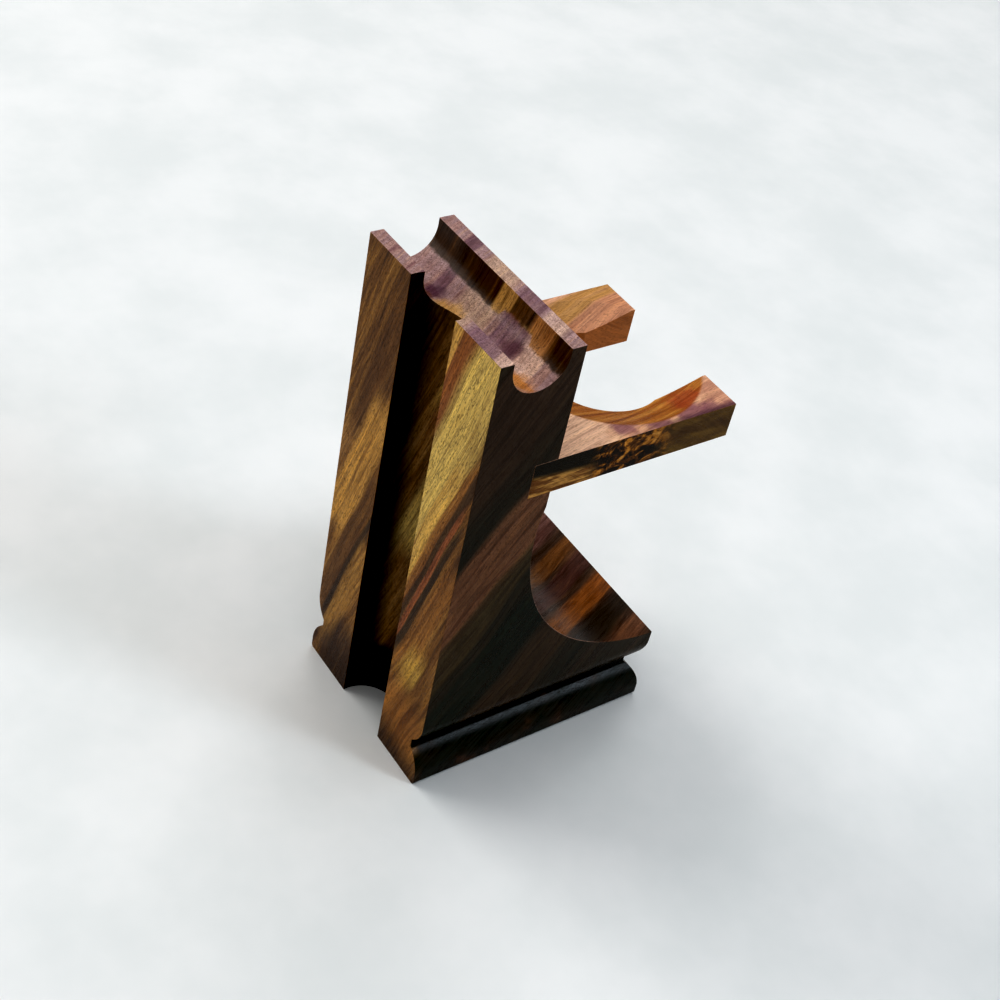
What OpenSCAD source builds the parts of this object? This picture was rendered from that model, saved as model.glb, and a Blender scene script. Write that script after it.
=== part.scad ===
// Wooden stand for a safety razor and a shaving brush.
//
// A body cut from one block of hardwood has an upright column, a scooped tray in
// front of it and a moulded foot. A forked board for the brush is glued into a
// housing across the front of the column, on two blind dowels.
//
// Axes: +Z is up, +X runs across the width, the fork points to -Y and the flute
// for the razor's handle is in the +Y face. The base stands on Z = 0, and the
// origin is under the middle of the bounding box.

/* [Column] */
// Width of the column, across the flute
column_w = 45; // [38:0.5:56]
// Front to back depth of the column
column_d = 19; // [16:0.5:24]
// Height of the column above the surface it stands on
column_h = 115; // [95:1:140]

/* [Razor rests] */
// Radius of the round bottom of the groove along the top
groove_r = 6.3; // [4.5:0.1:6.5]
// Height of the straight walls above the groove's round bottom
groove_wall_h = 1.6; // [0.5:0.1:4]
// Width of the flat land behind the groove
back_land_w = 3; // [1.5:0.1:4]
// Radius of the flute down the back face
flute_r = 7.7; // [5:0.1:8.5]
// Depth of the flute's centre line inside the back face
flute_centre_depth = 1; // [0:0.1:1.5]

/* [Foot and tray] */
// Front to back depth of the foot under the tray
foot_d = 62.2; // [52:0.2:76]
// Radius of the scoop between the column and the tray
scoop_r = 46.2; // [38:0.2:52]
// Depth that the scoop cuts into the front of the column
scoop_bite = 0.8; // [0:0.1:1.5]
// Height of the lowest line of the scoop
tray_h = 21.1; // [19:0.1:28]
// How far the bead at the bottom stands out from the faces above it
bead_proud = 0.4; // [0:0.1:1.5]
// Height of the bead's widest line
bead_belly_h = 2.8; // [1.5:0.1:3.5]
// Radius of the bead above its widest line
bead_r = 8.7; // [6:0.1:9]
// Radius of the eased edge under the bead
bead_ease_r = 0.8; // [0.2:0.1:1.2]
// Depth of the groove above the bead
quirk_depth = 3; // [1:0.1:4]
// Height at which the rounding above the groove begins
ovolo_top_h = 18; // [17:0.1:18.5]
// Radius of the rounding above the groove
ovolo_r = 7.9; // [5:0.1:8]

/* [Brush fork] */
// Height of the fork's top face
fork_top_h = 88; // [76:0.5:94]
// Thickness of the fork board
fork_t = 8.4; // [6:0.1:12]
// Reach of the fork's tips in front of the column
fork_reach = 45.5; // [43:0.5:56]
// Radius of the hole for the brush's neck
hole_r = 13.2; // [10:0.1:14]
// Distance from the column's front face to the hole's centre
hole_offset = 27.6; // [24:0.1:32]
// Width of the mouth between the prongs
mouth_w = 24.4; // [16:0.1:26]
// Radius of the dished seat at the fork's top face
seat_r = 21; // [16:0.1:21.5]
// Depth of the dished seat at the hole
seat_depth = 2.9; // [1:0.1:4]

/* [Fork joint] */
// Depth of the housing that takes the fork board
housing_depth = 5.4; // [3:0.1:7]
// Clearance over the fork board in its housing
housing_gap = 0; // [0:0.05:0.3]
// Diameter of each blind dowel
dowel_dia = 4; // [3:0.1:5]
// Length of each dowel that is inside the column
dowel_in_column = 7; // [4:0.5:8]
// Length of each dowel that is inside the fork
dowel_in_fork = 9; // [6:0.5:12]
// Distance between the two dowels
dowel_spacing = 30; // [26:0.5:32]
// Radial clearance of each dowel in its holes
dowel_gap = 0; // [0:0.05:0.2]
// Room for glue past each end of a dowel
dowel_end_room = 0.5; // [0.2:0.1:1]

/* [Hidden] */

$fn = 96;
// Overshoot of a cutter past the face that it opens
over = 1;

body_colour = "#4a2c1b";
fork_colour = "#8a5733";
dowel_colour = "#c9a978";

foot_w = column_w + 2 * bead_proud;
foot_front = foot_d + bead_proud;
fork_tip = column_d + fork_reach;
back_y = max(foot_front, fork_tip) / 2;

groove_centre_d = back_land_w + groove_r;
groove_centre_h = column_h - groove_wall_h;
scoop_centre_d = column_d - scoop_bite + scoop_r;
scoop_centre_h = tray_h + scoop_r;
housing_d = column_d - housing_depth;
fork_bottom_h = fork_top_h - fork_t;
fork_mid_h = fork_top_h - fork_t / 2;
hole_d = column_d + hole_offset;

// Runs an outline drawn as [distance in front of the back face, height]
// across a width that is centred on the object
module across(width) {
    translate([width / 2, back_y, 0])
        rotate([90, 0, -90])
            linear_extrude(height = width)
                children();
}

// Runs an outline drawn as [distance across, height] forward from the back face
module forward(depth) {
    translate([0, back_y, 0])
        rotate([90, 0, 0])
            linear_extrude(height = depth)
                children();
}

// What is left over when a corner at the origin is rounded to radius r
module corner_waste(r) {
    difference() {
        translate([-over, -over])
            square(r + over);
        translate([r, r])
            circle(r);
    }
}

// Outer edge of the foot: x is the distance in from the face above the groove,
// run inwards to x = reach and up to y = top
module foot_edge(reach, top) {
    // Core behind the groove
    translate([quirk_depth, 0])
        square([reach - quirk_depth, top]);
    // Face above the groove, with its rounded lower edge
    difference() {
        translate([0, ovolo_top_h - ovolo_r])
            square([reach, top - ovolo_top_h + ovolo_r]);
        translate([0, ovolo_top_h - ovolo_r])
            corner_waste(ovolo_r);
    }
    // Bead below the groove
    difference() {
        translate([-bead_proud, 0])
            square([reach + bead_proud, bead_belly_h + bead_r]);
        translate([-bead_proud, bead_belly_h + bead_r])
            mirror([0, 1])
                corner_waste(bead_r);
        translate([-bead_proud, 0])
            corner_waste(bead_ease_r);
    }
}

// Body seen from the side: column, scoop, tray and the foot's front edge. The
// scoop also cuts a little into the column, below the fork
module side_outline() {
    difference() {
        union() {
            square([column_d, column_h]);
            translate([foot_d, 0])
                mirror([1, 0])
                    foot_edge(foot_d, scoop_centre_h);
        }
        translate([scoop_centre_d, scoop_centre_h])
            circle(scoop_r, $fn = 240);
    }
}

// Body seen from the front: the column's sides and the foot's side edges
module front_outline() {
    for (side = [0, 1])
        mirror([side, 0])
            translate([-column_w / 2, 0])
                foot_edge(column_w / 2 + over, column_h);
}

// Groove along the top for the razor's head
module head_groove() {
    across(foot_w + 2 * over) {
        translate([groove_centre_d, groove_centre_h])
            circle(groove_r);
        translate([groove_centre_d - groove_r, groove_centre_h])
            square([2 * groove_r, groove_wall_h + over]);
    }
}

// Flute down the back for the razor's handle
module handle_flute() {
    translate([0, back_y - flute_centre_depth, -over])
        cylinder(r = flute_r, h = column_h + 2 * over);
}

// Housing across the front of the column
module fork_housing() {
    across(foot_w + 2 * over)
        translate([housing_d, fork_bottom_h])
            square([housing_depth + over, fork_t + housing_gap]);
}

// Place for a dowel: its axis points forward, from the bottom of the housing
module at_dowel(side) {
    translate([side * dowel_spacing / 2, back_y - housing_d, fork_mid_h])
        rotate([90, 0, 0])
            children();
}

module dowel_hole(side) {
    behind = dowel_in_column + dowel_end_room;
    ahead = dowel_in_fork + dowel_end_room;
    at_dowel(side)
        translate([0, 0, -behind])
            cylinder(d = dowel_dia + 2 * dowel_gap, h = behind + ahead);
}

module dowel(side) {
    color(dowel_colour)
        at_dowel(side)
            translate([0, 0, -dowel_in_column])
                cylinder(d = dowel_dia, h = dowel_in_column + dowel_in_fork);
}

module body() {
    color(body_colour)
        difference() {
            intersection() {
                across(foot_w)
                    side_outline();
                forward(foot_front)
                    front_outline();
            }
            head_groove();
            handle_flute();
            fork_housing();
            dowel_hole(-1);
            dowel_hole(1);
        }
}

module brush_fork() {
    color(fork_colour)
        difference() {
            across(column_w)
                translate([housing_d, fork_bottom_h])
                    square([housing_depth + fork_reach, fork_t]);
            // Hole for the brush's neck, and its dished seat
            translate([0, back_y - hole_d, fork_bottom_h - over])
                cylinder(r = hole_r, h = fork_t + 2 * over);
            translate([0, back_y - hole_d, fork_top_h - seat_depth])
                cylinder(r1 = hole_r, r2 = seat_r, h = seat_depth);
            // Mouth between the prongs
            translate([-mouth_w / 2, back_y - fork_tip - over, fork_bottom_h - over])
                cube([mouth_w, fork_tip - hole_d + over, fork_t + 2 * over]);
            dowel_hole(-1);
            dowel_hole(1);
        }
}

module fork_dowel_left() {
    dowel(-1);
}

module fork_dowel_right() {
    dowel(1);
}

body();
brush_fork();
fork_dowel_left();
fork_dowel_right();
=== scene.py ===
"""Looks of a wooden stand for a safety razor and a shaving brush.

The body is one block of oiled rosewood, with a forked board of the same timber glued across
its front on two blind dowels. Everything is in metres, in the frame of the CAD part: +Z up,
+X across the stand, the fork points to -Y, and the flute is in the +Y face.
"""

import math

import bmesh
import bpy
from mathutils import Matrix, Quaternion, Vector


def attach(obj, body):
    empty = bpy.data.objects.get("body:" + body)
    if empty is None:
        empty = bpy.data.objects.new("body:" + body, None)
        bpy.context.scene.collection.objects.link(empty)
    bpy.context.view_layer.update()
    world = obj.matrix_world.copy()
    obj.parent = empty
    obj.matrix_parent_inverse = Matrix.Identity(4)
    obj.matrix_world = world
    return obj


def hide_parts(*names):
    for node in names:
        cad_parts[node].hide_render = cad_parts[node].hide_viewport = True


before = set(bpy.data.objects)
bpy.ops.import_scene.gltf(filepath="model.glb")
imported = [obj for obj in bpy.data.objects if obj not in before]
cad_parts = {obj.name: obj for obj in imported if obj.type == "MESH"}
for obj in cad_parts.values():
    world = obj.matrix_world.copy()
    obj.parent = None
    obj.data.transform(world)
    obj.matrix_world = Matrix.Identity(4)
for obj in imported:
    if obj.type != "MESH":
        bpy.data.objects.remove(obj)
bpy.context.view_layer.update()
MM = 0.001

# ---------------------------------------------------------------------------------------
# Camera. It stands behind the stand, to the left of the flute and above it, and leans
# sideways a little, so that the stand rises to the right.

camera_azimuth = math.radians(227.59)
camera_elevation = math.radians(40.61)
camera_lean = math.radians(13.02)
camera_distance = 344.4 * MM
camera_aim = Vector((0.8, 4.3, 54.8)) * MM

to_camera = Vector(
    (
        math.sin(camera_azimuth) * math.cos(camera_elevation),
        -math.cos(camera_azimuth) * math.cos(camera_elevation),
        math.sin(camera_elevation),
    )
)
camera_data = bpy.data.cameras.new("camera")
camera_data.sensor_width = 36
camera_data.lens = 57.81
camera_data.clip_start = 0.01
camera_data.clip_end = 10
camera = bpy.data.objects.new("camera", camera_data)
camera.rotation_mode = "QUATERNION"
camera.location = camera_aim + camera_distance * to_camera
lean = Quaternion(to_camera, camera_lean)
camera.rotation_quaternion = lean @ to_camera.to_track_quat("Z", "Y")
bpy.context.scene.collection.objects.link(camera)
bpy.context.scene.camera = camera

# ---------------------------------------------------------------------------------------
# Body. The real one is a single block of rosewood, sawn, moulded round three sides of the
# foot and scooped, then sanded and oiled. Its arrises are eased by hand, and handling has
# rubbed them lighter.

arris_radius = 0.35 * MM
arris_angle = math.radians(15)


def eased_copy(node, name, radius):
    """A copy of a CAD node with its arrises eased. The point attribute "worn" is 1 along the
    middle of each arris, and 0 on the flats."""
    mesh = bmesh.new()
    mesh.from_mesh(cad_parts[node].data)
    bmesh.ops.remove_doubles(mesh, verts=mesh.verts, dist=0.001 * MM)
    bmesh.ops.dissolve_limit(
        mesh, angle_limit=math.radians(0.3), verts=mesh.verts, edges=mesh.edges
    )
    arrises = [e for e in mesh.edges if e.is_convex and e.calc_face_angle(0) > arris_angle]
    wear_and_highlight = mesh.verts.layers.float.new("wear_and_highlight")
    eased = bmesh.ops.bevel(
        mesh,
        geom=arrises,
        offset=radius,
        segments=3,
        profile=0.5,
        affect="EDGES",
        material=-1,
        clamp_overlap=True,
    )
    eased_faces = set(eased["faces"])
    for vertex in eased["verts"]:
        if eased_faces.issuperset(vertex.link_faces):
            vertex[wear_and_highlight] = 1.0
    for face in mesh.faces:
        face.smooth = True
    data = bpy.data.meshes.new(name)
    mesh.to_mesh(data)
    mesh.free()
    piece = bpy.data.objects.new(name, data)
    bpy.context.scene.collection.objects.link(piece)
    flats = piece.modifiers.new("flats", "WEIGHTED_NORMAL")
    flats.keep_sharp = True
    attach(piece, "root")
    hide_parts(node)
    return piece


class Finish:
    """Short words for the shader nodes of one finish. Lengths in its patterns are in mm."""

    def __init__(self, name):
        self.material = bpy.data.materials.new(name)
        self.material.use_nodes = True
        self.nodes = self.material.node_tree.nodes
        self.links = self.material.node_tree.links
        self.nodes.clear()
        place = self.nodes.new("ShaderNodeTexCoord")
        scale = self.nodes.new("ShaderNodeMapping")
        scale.inputs["Scale"].default_value = (1000, 1000, 1000)
        self.links.new(place.outputs["Object"], scale.inputs["Vector"])
        self.place = scale.outputs["Vector"]
        self.normal = place.outputs["Normal"]

    def put(self, value, socket):
        if isinstance(value, bpy.types.NodeSocket):
            self.links.new(value, socket)
        else:
            socket.default_value = value

    def math(self, operation, a, b=0.0, limit=False):
        node = self.nodes.new("ShaderNodeMath")
        node.operation = operation
        node.use_clamp = limit
        self.put(a, node.inputs[0])
        self.put(b, node.inputs[1])
        return node.outputs[0]

    def times(self, product, *others):
        for other in others:
            product = self.math("MULTIPLY", product, other)
        return product

    def along(self, vector, direction):
        node = self.nodes.new("ShaderNodeVectorMath")
        node.operation = "DOT_PRODUCT"
        self.put(vector, node.inputs[0])
        self.put(direction, node.inputs[1])
        return node.outputs["Value"]

    def apart(self, vector, centre):
        node = self.nodes.new("ShaderNodeVectorMath")
        node.operation = "DISTANCE"
        self.put(vector, node.inputs[0])
        self.put(centre, node.inputs[1])
        return node.outputs["Value"]

    def join(self, x, y, z):
        node = self.nodes.new("ShaderNodeCombineXYZ")
        for value, socket in zip((x, y, z), node.inputs):
            self.put(value, socket)
        return node.outputs[0]

    def stretched(self, lie, across, along, third):
        """A place in the timber for a pattern. The smaller a number, the longer the pattern is
        drawn out across the sheets, along the grain or the third way."""
        sheet, length, side = lie
        return self.join(
            self.times(sheet, across), self.times(side, third), self.times(length, along)
        )

    def noise(self, vector, scale, detail=2.0, roughness=0.5, bend=0.0):
        node = self.nodes.new("ShaderNodeTexNoise")
        self.put(vector, node.inputs["Vector"])
        node.inputs["Scale"].default_value = scale
        node.inputs["Detail"].default_value = detail
        node.inputs["Roughness"].default_value = roughness
        node.inputs["Distortion"].default_value = bend
        return node.outputs["Fac"]

    def fade(self, value, none, full):
        """0 where value is at none, 1 where it is at full, and smooth between."""
        node = self.nodes.new("ShaderNodeMapRange")
        node.interpolation_type = "SMOOTHSTEP"
        self.put(value, node.inputs["Value"])
        flipped = none > full
        node.inputs["From Min"].default_value = full if flipped else none
        node.inputs["From Max"].default_value = none if flipped else full
        node.inputs["To Min"].default_value = 1.0 if flipped else 0.0
        node.inputs["To Max"].default_value = 0.0 if flipped else 1.0
        return node.outputs["Result"]

    def ramp(self, value, stops):
        node = self.nodes.new("ShaderNodeValToRGB")
        node.color_ramp.interpolation = "EASE"
        spare = len(stops) - len(node.color_ramp.elements)
        for _ in range(spare):
            node.color_ramp.elements.new(0.5)
        for element, (position, colour) in zip(node.color_ramp.elements, stops):
            element.position = position
            element.color = (*colour, 1)
        self.put(value, node.inputs["Fac"])
        return node.outputs["Color"]

    def mix(self, share, a, b, blend="MIX"):
        node = self.nodes.new("ShaderNodeMix")
        node.data_type = "RGBA"
        node.blend_type = blend
        self.put(share, node.inputs["Factor"])
        for value, socket in ((a, node.inputs["A"]), (b, node.inputs["B"])):
            colour = next(s for s in node.inputs if s.name == socket.name and s.type == "RGBA")
            self.put(value if isinstance(value, bpy.types.NodeSocket) else (*value, 1), colour)
        return next(s for s in node.outputs if s.type == "RGBA")


def lie_of_grain(finish, across, grain, third, sway):
    """Three measures in the timber, in mm: across its sheets, which sway, along its grain, and
    the third way."""
    length = finish.along(finish.place, grain)
    side = finish.along(finish.place, third)
    wander = finish.noise(finish.place, 0.03, 1.0, 0.5)
    drift = finish.times(finish.math("SUBTRACT", wander, 0.5), sway)
    sheet = finish.math("ADD", finish.along(finish.place, across), drift)
    feather_place = finish.stretched((sheet, length, side), 0.30, 0.03, 0.05)
    feather = finish.math("SUBTRACT", finish.noise(feather_place, 1.0, 1.5, 0.5), 0.5)
    sheet = finish.math("ADD", sheet, finish.times(feather, 2.2))
    return sheet, length, side


def figure(finish, lie, ground, streaks):
    """Colour bands that follow the sheets, from a ramp of ground colours. A streak over them is
    (place, half width, from, to, colour, strength): its place and half width are across the
    sheets, and its ends are along the grain."""
    sheet, length = lie[:2]
    bands = finish.noise(finish.stretched(lie, 0.42, 0.02, 0.03), 1.0, 4.0, 0.65)
    colour = finish.ramp(bands, ground)
    breaks = finish.noise(finish.stretched(lie, 0.7, 0.05, 0.1), 1.0, 2.0, 0.6)
    unbroken = finish.fade(breaks, 0.25, 0.55)
    unbroken = finish.math("ADD", finish.times(unbroken, 0.3), 0.7)
    for place, half_width, start, end, tint, strength in streaks:
        off = finish.math("ABSOLUTE", finish.math("SUBTRACT", sheet, place))
        inside = finish.fade(off, half_width * 1.2, half_width * 0.7)
        begun = finish.fade(length, start - 5, start + 5)
        unfinished = finish.fade(length, end + 5, end - 5)
        share = finish.times(inside, begun, unfinished, strength, unbroken)
        colour = finish.mix(share, colour, tint)
    return colour


def stained(finish, colour, centre, radius, tint, strength):
    """A soft-edged patch of another colour round a point."""
    ragged = finish.math("SUBTRACT", finish.noise(finish.place, 0.4, 3.0, 0.6), 0.5)
    away = finish.apart(finish.place, centre)
    away = finish.math("ADD", away, finish.times(ragged, radius))
    near = finish.fade(away, radius, radius * 0.4)
    return finish.mix(finish.times(near, strength), colour, tint)


def oiled_surface(finish, colour, lie, fibre_strength, pore_strength, roughness):
    """Adds fibres, pores and worn arrises to a timber's colour, and makes its satin surface."""
    fibre_place = finish.stretched(lie, 1.0, 0.035, 0.05)
    fine = finish.noise(fibre_place, 3.2, 3.0, 0.65)
    coarse = finish.noise(fibre_place, 0.9, 3.0, 0.65)
    shade = finish.ramp(fine, [(0.30, (0.64, 0.58, 0.54)), (0.70, (1.30, 1.30, 1.25))])
    colour = finish.mix(fibre_strength, colour, shade, "MULTIPLY")
    shade = finish.ramp(
        coarse,
        [(0.30, (0.60, 0.52, 0.48)), (0.50, (1.0, 1.0, 1.0)), (0.70, (1.32, 1.30, 1.12))],
    )
    colour = finish.mix(fibre_strength, colour, shade, "MULTIPLY")
    pore_place = finish.stretched(lie, 1.0, 0.20, 1.0)
    pores = finish.fade(finish.noise(pore_place, 4.6, 1.0, 0.5), 0.53, 0.66)
    pore_brown = (0.035, 0.014, 0.005)
    colour = finish.mix(finish.times(pores, pore_strength), colour, pore_brown)
    wear_and_highlight = finish.nodes.new("ShaderNodeAttribute")
    wear_and_highlight.attribute_name = "wear_and_highlight"
    patchy = finish.fade(finish.noise(finish.place, 0.25, 3.0, 0.6), 0.35, 0.7)
    rubbed = finish.times(wear_and_highlight.outputs["Fac"], patchy)
    rubbed_brown = (0.36, 0.20, 0.12)
    colour = finish.mix(finish.times(rubbed, 0.45), colour, rubbed_brown)
    rough = finish.math("ADD", finish.times(coarse, 0.20), roughness - 0.10)
    rough = finish.math("ADD", rough, finish.times(pores, 0.2))
    rough = finish.math("SUBTRACT", rough, finish.times(rubbed, 0.08))
    bump = finish.nodes.new("ShaderNodeBump")
    bump.inputs["Strength"].default_value = 0.2
    bump.inputs["Distance"].default_value = 0.04 * MM
    relief = finish.math("SUBTRACT", finish.times(fine, 0.4), pores)
    finish.put(relief, bump.inputs["Height"])
    surface = finish.nodes.new("ShaderNodeBsdfPrincipled")
    surface.inputs["IOR"].default_value = 1.45
    surface.inputs["Specular IOR Level"].default_value = 0.22
    finish.put(colour, surface.inputs["Base Color"])
    finish.put(rough, surface.inputs["Roughness"])
    finish.put(bump.outputs["Normal"], surface.inputs["Normal"])
    output = finish.nodes.new("ShaderNodeOutputMaterial")
    finish.put(surface.outputs["BSDF"], output.inputs["Surface"])
    return finish.material


# Depths are in front of the back face, and heights are above the floor, in mm
back_face = 32.25
column_front = 19
groove_front = 15.7
dark_side_height = 13
bead_top = 8.8
body_across = (-1.0, -0.456, -0.31)
body_grain = (-0.25, -0.13, 0.96)
body_third = (0.42, -0.90, 0.0)

gold = (0.640, 0.480, 0.175)
dull_gold = (0.560, 0.330, 0.095)
amber = (0.330, 0.155, 0.045)
red_brown = (0.300, 0.120, 0.040)
rust = (0.330, 0.125, 0.052)
umber = (0.135, 0.062, 0.022)
plum = (0.060, 0.028, 0.016)
black_line = (0.032, 0.021, 0.014)


def body_streak(place, half_width, low, high, tint, strength):
    """A streak given where it meets the back face: its place across at Z = 0, and its heights."""
    place = place + body_across[1] * back_face
    low = low * body_grain[2] + body_grain[1] * back_face
    high = high * body_grain[2] + body_grain[1] * back_face
    return (place, half_width, low, high, tint, strength)


body_wood = Finish("body_wood_oiled")
body_lie = lie_of_grain(body_wood, body_across, body_grain, body_third, 3.0)

# Sapwood along the back, with the streaks that show on both legs
sapwood = figure(
    body_wood,
    body_lie,
    [
        (0.32, (0.085, 0.038, 0.014)),
        (0.45, (0.190, 0.092, 0.028)),
        (0.56, (0.300, 0.160, 0.046)),
        (0.70, (0.400, 0.230, 0.078)),
    ],
    [
        body_streak(-40, 3.5, 66, 88, umber, 0.6),
        body_streak(-41, 4.0, 84, 130, umber, 0.45),
        body_streak(-40.5, 3.0, 50, 64, (0.380, 0.215, 0.080), 0.75),
        body_streak(-34.2, 4.6, 36, 80, dull_gold, 0.9),
        body_streak(-27.5, 2.4, 10, 62, umber, 0.8),
        body_streak(-24.3, 0.9, 10, 62, black_line, 0.7),
        body_streak(-20.7, 2.8, 4, 44, dull_gold, 0.65),
        body_streak(-22.6, 3.0, 80, 130, red_brown, 0.9),
        body_streak(-26.0, 1.7, 86, 130, (0.660, 0.420, 0.130), 0.95),
        body_streak(-13.5, 6.4, 46, 130, gold, 0.97),
        body_streak(-8.8, 2.4, 44, 92, (0.620, 0.410, 0.130), 0.9),
        body_streak(-6.4, 1.2, 30, 96, amber, 0.8),
        body_streak(-4.6, 1.0, 34, 98, (0.058, 0.032, 0.018), 0.8),
        body_streak(-3.6, 0.8, 34, 84, rust, 0.9),
        body_streak(-1.8, 1.1, 30, 80, black_line, 0.85),
        body_streak(2.4, 2.6, 28, 70, (0.330, 0.160, 0.045), 0.8),
        body_streak(5.0, 3.4, 28, 39, (0.520, 0.350, 0.095), 0.8),
        body_streak(10, 9.0, 8, 24, amber, 0.75),
        body_streak(-13.5, 5.5, -10, 16, plum, 0.85),
        body_streak(3, 26, -10, 9, (0.048, 0.024, 0.014), 0.85),
    ],
)

# Heartwood on the sides, nearly black, with reddish and brown bands
side_wood = figure(
    body_wood,
    body_lie,
    [
        (0.32, (0.024, 0.022, 0.014)),
        (0.50, (0.038, 0.029, 0.017)),
        (0.68, (0.062, 0.040, 0.024)),
    ],
    [
        body_streak(6.7, 3.8, 36, 96, (0.230, 0.114, 0.062), 0.9),
        body_streak(11.5, 1.8, 20, 80, (0.090, 0.062, 0.028), 0.7),
        body_streak(1.0, 2.0, 50, 96, (0.030, 0.026, 0.017), 0.6),
        body_streak(-6.0, 6.0, 84, 130, (0.080, 0.044, 0.028), 0.6),
        body_streak(18.5, 3.4, -20, 60, (0.016, 0.022, 0.014), 0.9),
        body_streak(25.5, 3.2, -20, 60, (0.070, 0.042, 0.022), 0.8),
    ],
)

# Heartwood in the scoop and over the front, plum and orange by turns
front_wood = figure(
    body_wood,
    body_lie,
    [
        (0.32, (0.050, 0.032, 0.022)),
        (0.50, (0.080, 0.048, 0.032)),
        (0.68, (0.130, 0.068, 0.040)),
    ],
    [
        body_streak(3.0, 3.4, -60, 120, (0.200, 0.110, 0.095), 0.9),
        body_streak(11.6, 2.4, -60, 120, (0.200, 0.095, 0.036), 0.9),
        body_streak(17.5, 2.4, -60, 120, (0.110, 0.054, 0.044), 0.9),
        body_streak(25.2, 2.8, -60, 120, (0.300, 0.120, 0.034), 0.9),
        body_streak(32.5, 3.4, -60, 120, (0.040, 0.030, 0.022), 0.9),
        body_streak(39.5, 2.6, -60, 120, (0.190, 0.095, 0.056), 0.9),
    ],
)
depth = body_wood.math("SUBTRACT", back_face, body_wood.along(body_wood.place, (0, 1, 0)))
height = body_wood.along(body_wood.place, (0, 0, 1))
sideways = body_wood.math("ABSOLUTE", body_wood.along(body_wood.normal, (1, 0, 0)))
to_side = body_wood.fade(sideways, 0.6, 0.9)
to_front = body_wood.fade(depth, groove_front, column_front)
to_foot = body_wood.times(
    body_wood.fade(height, dark_side_height + 3, dark_side_height), body_wood.fade(depth, 0.4, 2.5)
)
near_top = body_wood.fade(height, 98, 102)
body_colour = body_wood.mix(to_front, sapwood, front_wood)
body_colour = body_wood.mix(body_wood.math("MAXIMUM", to_side, to_foot), body_colour, side_wood)

# The foot's bead has brown patches
bead_wood = body_wood.ramp(
    body_wood.noise(body_wood.place, 0.09, 3.0, 0.6),
    [(0.44, (0.022, 0.026, 0.021)), (0.58, (0.032, 0.028, 0.021)), (0.66, (0.085, 0.048, 0.030))],
)
body_colour = body_wood.mix(body_wood.times(to_foot, 0.95), body_colour, bead_wood)

# Painted shade: the groove above the bead is painted nearly black, for the shadow that fills it
quirk_painted_shade = (0.006, 0.006, 0.004)
quirk_shade_mask = body_wood.times(
    body_wood.fade(height, bead_top, bead_top + 1.4),
    body_wood.fade(height, 14.5, 11.5),
    body_wood.fade(depth, 0.1, 0.6),
    0.95,
)
body_colour = body_wood.mix(quirk_shade_mask, body_colour, quirk_painted_shade)

# The front wall of the groove on top is dark, with olive-gold streaks: partly its own heartwood,
# and partly painted shade, as the wall faces away from the light. Its lower edge is ragged, and
# gives way to the mauve band that crosses the groove
backward = body_wood.along(body_wood.normal, (0, 1, 0))
uneven = body_wood.math("SUBTRACT", body_wood.noise(body_wood.place, 0.6, 4.0, 0.7), 0.5)
mauve_place, mauve_half = body_streak(-19.5, 4.6, 0, 0, None, 1)[:2]
off_mauve = body_wood.math("ABSOLUTE", body_wood.math("SUBTRACT", body_lie[0], mauve_place))
in_mauve = body_wood.fade(off_mauve, mauve_half + 0.5, mauve_half - 0.5)
from_wall = body_wood.math("ADD", backward, body_wood.times(uneven, 0.18))
from_wall = body_wood.math("SUBTRACT", from_wall, body_wood.times(in_mauve, 0.16))
groove_wall = body_wood.times(
    body_wood.fade(from_wall, 0.70, 0.78), body_wood.fade(depth, 9, 11), near_top
)
wall_wood_and_shade = figure(
    body_wood,
    body_lie,
    [
        (0.34, (0.036, 0.018, 0.010)),
        (0.50, (0.066, 0.033, 0.016)),
        (0.66, (0.160, 0.080, 0.030)),
    ],
    [
        body_streak(-25.0, 2.4, 60, 140, (0.52, 0.320, 0.120), 0.95),
        body_streak(-13.5, 3.2, 60, 140, (0.50, 0.270, 0.110), 0.9),
    ],
)

# End grain on top, in lavender, tan and pink bands, with a few strong spots. Its pale, cool tones
# are partly a painted sheen, lighter than the timber, for the reflection of the bright sky on level
# faces
upward = body_wood.fade(body_wood.along(body_wood.normal, (0, 0, 1)), 0.30, 0.50)
on_top = body_wood.times(upward, near_top)
end_grain_and_sheen = figure(
    body_wood,
    body_lie,
    [
        (0.34, (0.330, 0.190, 0.190)),
        (0.44, (0.480, 0.320, 0.290)),
        (0.54, (0.440, 0.310, 0.315)),
        (0.66, (0.580, 0.400, 0.310)),
    ],
    [
        body_streak(-40.5, 1.8, 60, 140, (0.200, 0.110, 0.150), 0.8),
        body_streak(-30.0, 5.0, 60, 140, (0.620, 0.460, 0.350), 0.75),
        body_streak(-19.5, 4.2, 60, 140, (0.260, 0.160, 0.200), 0.9),
        body_streak(-12.0, 3.2, 60, 140, (0.680, 0.500, 0.430), 0.85),
    ],
)
speckle = body_wood.fade(body_wood.noise(body_wood.place, 1.4, 2.0, 0.6), 0.60, 0.42)
open_pores = (0.155, 0.078, 0.084)
end_grain_and_sheen = body_wood.mix(body_wood.times(speckle, 0.28), end_grain_and_sheen, open_pores)
deep_plum = (0.096, 0.029, 0.065)
end_grain_spots = [
    ((10.5, 24, 107), 3.2, deep_plum, 0.6),
    ((9.5, 27.5, 108), 3.0, (0.166, 0.059, 0.029), 0.8),
    ((-10.5, 20.5, 107), 3.6, deep_plum, 0.75),
    ((4.5, 25, 107), 4.5, (0.657, 0.407, 0.143), 0.75),
    ((-19, 26, 107.5), 5.0, (0.524, 0.232, 0.052), 0.85),
]
for centre, radius, tint, strength in end_grain_spots:
    end_grain_and_sheen = stained(body_wood, end_grain_and_sheen, centre, radius, tint, strength)
body_colour = body_wood.mix(body_wood.times(on_top, 0.95), body_colour, end_grain_and_sheen)
body_colour = body_wood.mix(groove_wall, body_colour, wall_wood_and_shade)
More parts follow.
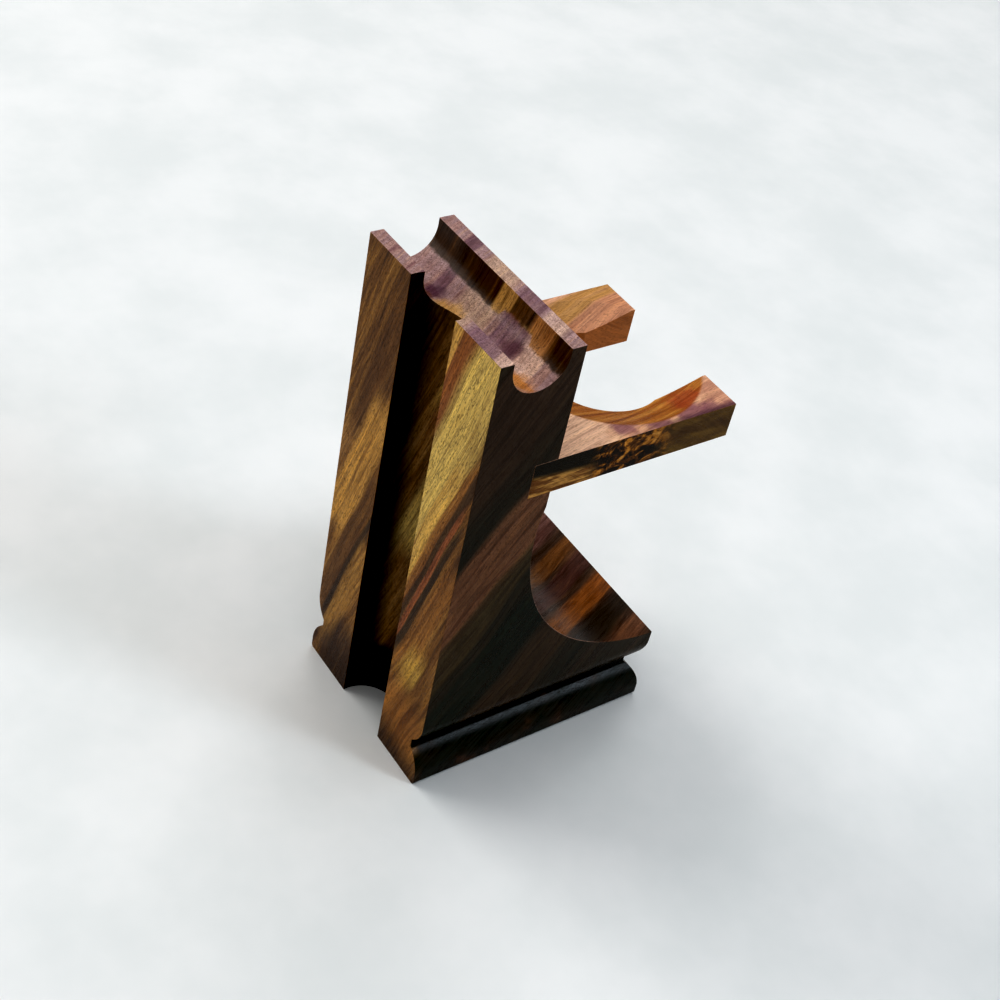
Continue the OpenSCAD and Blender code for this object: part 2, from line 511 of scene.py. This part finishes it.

# Painted highlight: the scoop's eased arris at the column is painted pale, for the light it catches
rim = body_wood.nodes.new("ShaderNodeAttribute")
rim.attribute_name = "wear_and_highlight"
at_scoop = body_wood.times(
    body_wood.fade(depth, 20, 24), body_wood.fade(depth, 50, 38), body_wood.fade(height, 20, 24)
)
rim_painted_highlight = (0.560, 0.360, 0.300)
rim_highlight_mask = body_wood.times(rim.outputs["Fac"], at_scoop)
body_colour = body_wood.mix(rim_highlight_mask, body_colour, rim_painted_highlight)

# The fibres are fainter on the end grain
body_fibres = body_wood.math("SUBTRACT", 0.8, body_wood.times(on_top, 0.4))
body_pores = 0.5
satin = 0.28
body_material = oiled_surface(body_wood, body_colour, body_lie, body_fibres, body_pores, satin)
body = eased_copy("body", "rosewood_body", arris_radius)
body.data.materials.append(body_material)

# ---------------------------------------------------------------------------------------
# Brush fork. A board of the same timber, cut from a redder, wilder part of the plank, with
# its grain from back to front. It is glued into the housing, and its hole is dished for the
# brush's shoulder.

fork_tip = -32.25
fork_top = 88
hole_centre = (0.0, -14.35, 0.0)
fork_across = (-1.0, -0.20, 0.35)
fork_grain = (0.196, -0.98, 0.0)
fork_third = (0.33, 0.07, 0.94)

fork_mauve = (0.280, 0.125, 0.145)
fork_pink = (0.780, 0.550, 0.410)
fork_brown = (0.460, 0.240, 0.180)


def fork_streak(place, half_width, tint, strength):
    """A streak along the whole board, given where it meets the tips' top edge."""
    place = place + fork_across[1] * fork_tip + fork_across[2] * fork_top
    return (place, half_width, -60, 60, tint, strength)


fork_wood = Finish("fork_wood_oiled")
fork_lie = lie_of_grain(fork_wood, fork_across, fork_grain, fork_third, 3.0)
fork_colour = figure(
    fork_wood,
    fork_lie,
    [
        (0.32, (0.440, 0.230, 0.150)),
        (0.48, (0.640, 0.390, 0.260)),
        (0.66, (0.760, 0.500, 0.330)),
    ],
    [
        fork_streak(-21.5, 2.4, (0.460, 0.265, 0.088), 0.85),
        fork_streak(-16.0, 3.4, (0.520, 0.270, 0.165), 0.85),
    ],
)
fork_patches = [
    ((-17, 6, fork_top), 12, fork_pink, 0.7),
    ((-17, -31, fork_top), 7.0, fork_brown, 0.6),
    ((-19.3, -5.2, fork_top), 4.0, fork_mauve, 0.8),
    ((-21.0, -12.8, fork_top), 4.6, fork_mauve, 0.8),
    ((-20.5, -21.5, fork_top), 5.6, fork_mauve, 0.85),
    ((-22.6, -26.0, fork_top), 4.4, fork_mauve, 0.8),
    ((-22.8, -31.0, fork_top), 2.8, fork_mauve, 0.7),
]
for centre, radius, tint, strength in fork_patches:
    fork_colour = stained(fork_wood, fork_colour, centre, radius, tint, strength)

# The dished seat on the near side is cut across the grain, and shows orange
forward = fork_wood.math("SUBTRACT", back_face, fork_wood.along(fork_wood.place, (0, 1, 0)))
upright = fork_wood.along(fork_wood.place, (0, 0, 1))
hole_place = fork_wood.join(
    fork_wood.along(fork_wood.place, (1, 0, 0)), fork_wood.along(fork_wood.place, (0, 1, 0)), 0.0
)
from_hole = fork_wood.apart(hole_place, hole_centre)
near_side = fork_wood.fade(fork_wood.along(fork_wood.place, (1, 0, 0)), 4, -2)
dished = fork_wood.times(fork_wood.fade(from_hole, 21.3, 20.5), near_side)
dish_wood = figure(
    fork_wood,
    fork_lie,
    [
        (0.34, (0.190, 0.060, 0.016)),
        (0.50, (0.360, 0.145, 0.028)),
        (0.66, (0.520, 0.270, 0.066)),
    ],
    [],
)
dish_red = (0.330, 0.080, 0.026)
dish_wood = stained(fork_wood, dish_wood, (-17, -24, 86.5), 6.0, dish_red, 0.85)
fork_colour = fork_wood.mix(fork_wood.times(dished, 0.9), fork_colour, dish_wood)

# The board's outer edges are dark, with golden curls round a knot, and its tongue is streaked
across_face = fork_wood.math("ABSOLUTE", fork_wood.along(fork_wood.normal, (1, 0, 0)))
far_out = fork_wood.math("ABSOLUTE", fork_wood.along(fork_wood.place, (1, 0, 0)))
plain_edge = fork_wood.ramp(
    fork_wood.noise(fork_wood.join(0.0, fork_wood.times(forward, 0.3), upright), 0.3),
    [(0.35, (0.100, 0.050, 0.014)), (0.65, (0.190, 0.110, 0.026))],
)
curl_place = fork_wood.join(
    0.0,
    fork_wood.math("ADD", fork_wood.times(forward, 0.45), upright),
    fork_wood.math("SUBTRACT", forward, upright),
)
curls = fork_wood.noise(curl_place, 0.27, 4.0, 0.6, 1.0)
curl_wood = fork_wood.ramp(
    curls,
    [
        (0.44, (0.020, 0.012, 0.007)),
        (0.51, (0.110, 0.042, 0.010)),
        (0.60, (0.500, 0.230, 0.040)),
        (0.72, (0.700, 0.400, 0.120)),
    ],
)
round_knot = fork_wood.times(fork_wood.fade(forward, 25, 30), fork_wood.fade(forward, 50, 43))
tongue_place = fork_wood.join(0.0, fork_wood.times(forward, 0.12), upright)
tongue_wood = fork_wood.ramp(
    fork_wood.noise(tongue_place, 0.9, 3.0, 0.6),
    [(0.40, (0.188, 0.079, 0.020)), (0.60, (0.581, 0.336, 0.108))],
)
tongue_top = fork_wood.math("ADD", upright, fork_wood.times(forward, 0.08))
on_tongue = fork_wood.times(
    fork_wood.fade(forward, 31, 26), fork_wood.fade(tongue_top, 86.6, 84.8)
)
dark_corner = fork_wood.times(
    fork_wood.fade(forward, 31, 27), fork_wood.fade(tongue_top, 84.8, 86.6), 0.97
)
edge_figure = fork_wood.mix(round_knot, plain_edge, curl_wood)
edge_figure = fork_wood.mix(on_tongue, edge_figure, tongue_wood)
nearly_black = (0.016, 0.013, 0.008)
edge_figure = fork_wood.mix(dark_corner, edge_figure, nearly_black)
outer_edge = fork_wood.times(fork_wood.fade(across_face, 0.6, 0.9), fork_wood.fade(far_out, 19, 21))

# Towards the tip, the near prong's upper arris is a dark plum
arris_plum = (0.110, 0.045, 0.065)
dark_arris = fork_wood.times(
    fork_wood.fade(far_out, 21.0, 22.2), fork_wood.fade(forward, 40, 52), near_side, 0.75
)
fork_colour = fork_wood.mix(dark_arris, fork_colour, arris_plum)
fork_colour = fork_wood.mix(outer_edge, fork_colour, edge_figure)

# The wall of the hole and of the mouth is orange
wall_orange = (0.390, 0.140, 0.024)
inner_wall = fork_wood.times(
    fork_wood.fade(across_face, 0.3, 0.6), fork_wood.fade(far_out, 18, 15), 0.8
)
fork_colour = fork_wood.mix(inner_wall, fork_colour, wall_orange)

fork_fibres = 0.45
fork_pores = 0.25
fork_material = oiled_surface(fork_wood, fork_colour, fork_lie, fork_fibres, fork_pores, satin)
fork = eased_copy("brush_fork", "rosewood_brush_fork", arris_radius)
fork.data.materials.append(fork_material)

# ---------------------------------------------------------------------------------------
# Dowels. Two short pins of pale ramin, cut from a turned rod and left bare. They are glued out
# of sight between the body and the fork.

dowel_wood = Finish("dowel_wood_plain")
dowel_lie = lie_of_grain(dowel_wood, (1.0, 0.0, 0.2), (0.0, -1.0, 0.0), (-0.2, 0.0, 1.0), 1.0)
dowel_colour = figure(
    dowel_wood, dowel_lie, [(0.3, (0.42, 0.29, 0.15)), (0.7, (0.60, 0.44, 0.26))], []
)
dowel_fibres = 0.5
dowel_pores = 0.2
bare = 0.70
dowel_material = oiled_surface(
    dowel_wood, dowel_colour, dowel_lie, dowel_fibres, dowel_pores, bare
)
for node in ("fork_dowel_left", "fork_dowel_right"):
    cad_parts[node].material_slots[0].material = dowel_material

# ---------------------------------------------------------------------------------------
# Floor. A plain matt sheet of pale card that the stand is set on. It is far wider than the view,
# so that its edges never show.

floor_half = 3.0
floor_mesh = bmesh.new()
bmesh.ops.create_grid(floor_mesh, x_segments=1, y_segments=1, size=floor_half)
floor_data = bpy.data.meshes.new("floor")
floor_mesh.to_mesh(floor_data)
floor_mesh.free()
floor = bpy.data.objects.new("floor", floor_data)
bpy.context.scene.collection.objects.link(floor)

floor_finish = Finish("floor_pale")
mottle = floor_finish.noise(floor_finish.place, 0.02, 4.0, 0.6)
floor_tone = floor_finish.ramp(mottle, [(0.3, (0.69, 0.70, 0.69)), (0.7, (0.75, 0.75, 0.74))])
floor_surface = floor_finish.nodes.new("ShaderNodeBsdfPrincipled")
floor_surface.inputs["Roughness"].default_value = 0.8
floor_finish.put(floor_tone, floor_surface.inputs["Base Color"])
floor_output = floor_finish.nodes.new("ShaderNodeOutputMaterial")
floor_finish.put(floor_surface.outputs["BSDF"], floor_output.inputs["Surface"])
floor_data.materials.append(floor_finish.material)

# ---------------------------------------------------------------------------------------
# Light. A wide soft light on the far side, seen by the camera as a sheen on level faces, a
# soft one from the left that shows the back face, and a dim even surround.


def soft_light(name, azimuth, elevation, distance, width, height, power, colour):
    data = bpy.data.lights.new(name, "AREA")
    data.shape = "RECTANGLE"
    data.size = width
    data.size_y = height
    data.energy = power
    data.color = colour
    light = bpy.data.objects.new(name, data)
    around = math.radians(azimuth)
    above = math.radians(elevation)
    outward = Vector(
        (
            math.sin(around) * math.cos(above),
            -math.cos(around) * math.cos(above),
            math.sin(above),
        )
    )
    light.rotation_mode = "QUATERNION"
    light.location = Vector((0, 0, 0.05)) + outward * distance
    light.rotation_quaternion = outward.to_track_quat("Z", "Y")
    bpy.context.scene.collection.objects.link(light)


soft_light("far_window", 47, 45, 3.0, 1.7, 1.0, 11, (0.97, 0.98, 1.0))
soft_light("overhead", 0, 90, 1.8, 2.2, 2.2, 33, (0.98, 0.99, 1.0))
soft_light("left_panel", 116, 20, 2.4, 1.7, 1.4, 52, (1.0, 0.99, 0.97))
soft_light("right_panel", 304, 27, 1.8, 0.4, 0.7, 13, (0.80, 0.90, 1.0))

# The surround lights the stand dimly, and is itself seen as pale as the floor
world = bpy.data.worlds.new("surround")
bpy.context.scene.world = world
world.use_nodes = True
dim_air = world.node_tree.nodes["Background"]
dim_air.inputs["Color"].default_value = (0.9, 0.93, 1.0, 1)
dim_air.inputs["Strength"].default_value = 0.08
pale_air = world.node_tree.nodes.new("ShaderNodeBackground")
pale_air.inputs["Color"].default_value = (0.96, 0.98, 1.0, 1)
pale_air.inputs["Strength"].default_value = 0.75
seen = world.node_tree.nodes.new("ShaderNodeLightPath")
either = world.node_tree.nodes.new("ShaderNodeMixShader")
world.node_tree.links.new(seen.outputs["Is Camera Ray"], either.inputs[0])
world.node_tree.links.new(dim_air.outputs[0], either.inputs[1])
world.node_tree.links.new(pale_air.outputs[0], either.inputs[2])
world_output = world.node_tree.nodes["World Output"]
world.node_tree.links.new(either.outputs[0], world_output.inputs["Surface"])

display = bpy.context.scene.view_settings
display.view_transform = "Standard"
display.gamma = 0.70
display.use_curve_mapping = True
display.curve_mapping.black_level = (0.024, 0.024, 0.024)
display.curve_mapping.update()
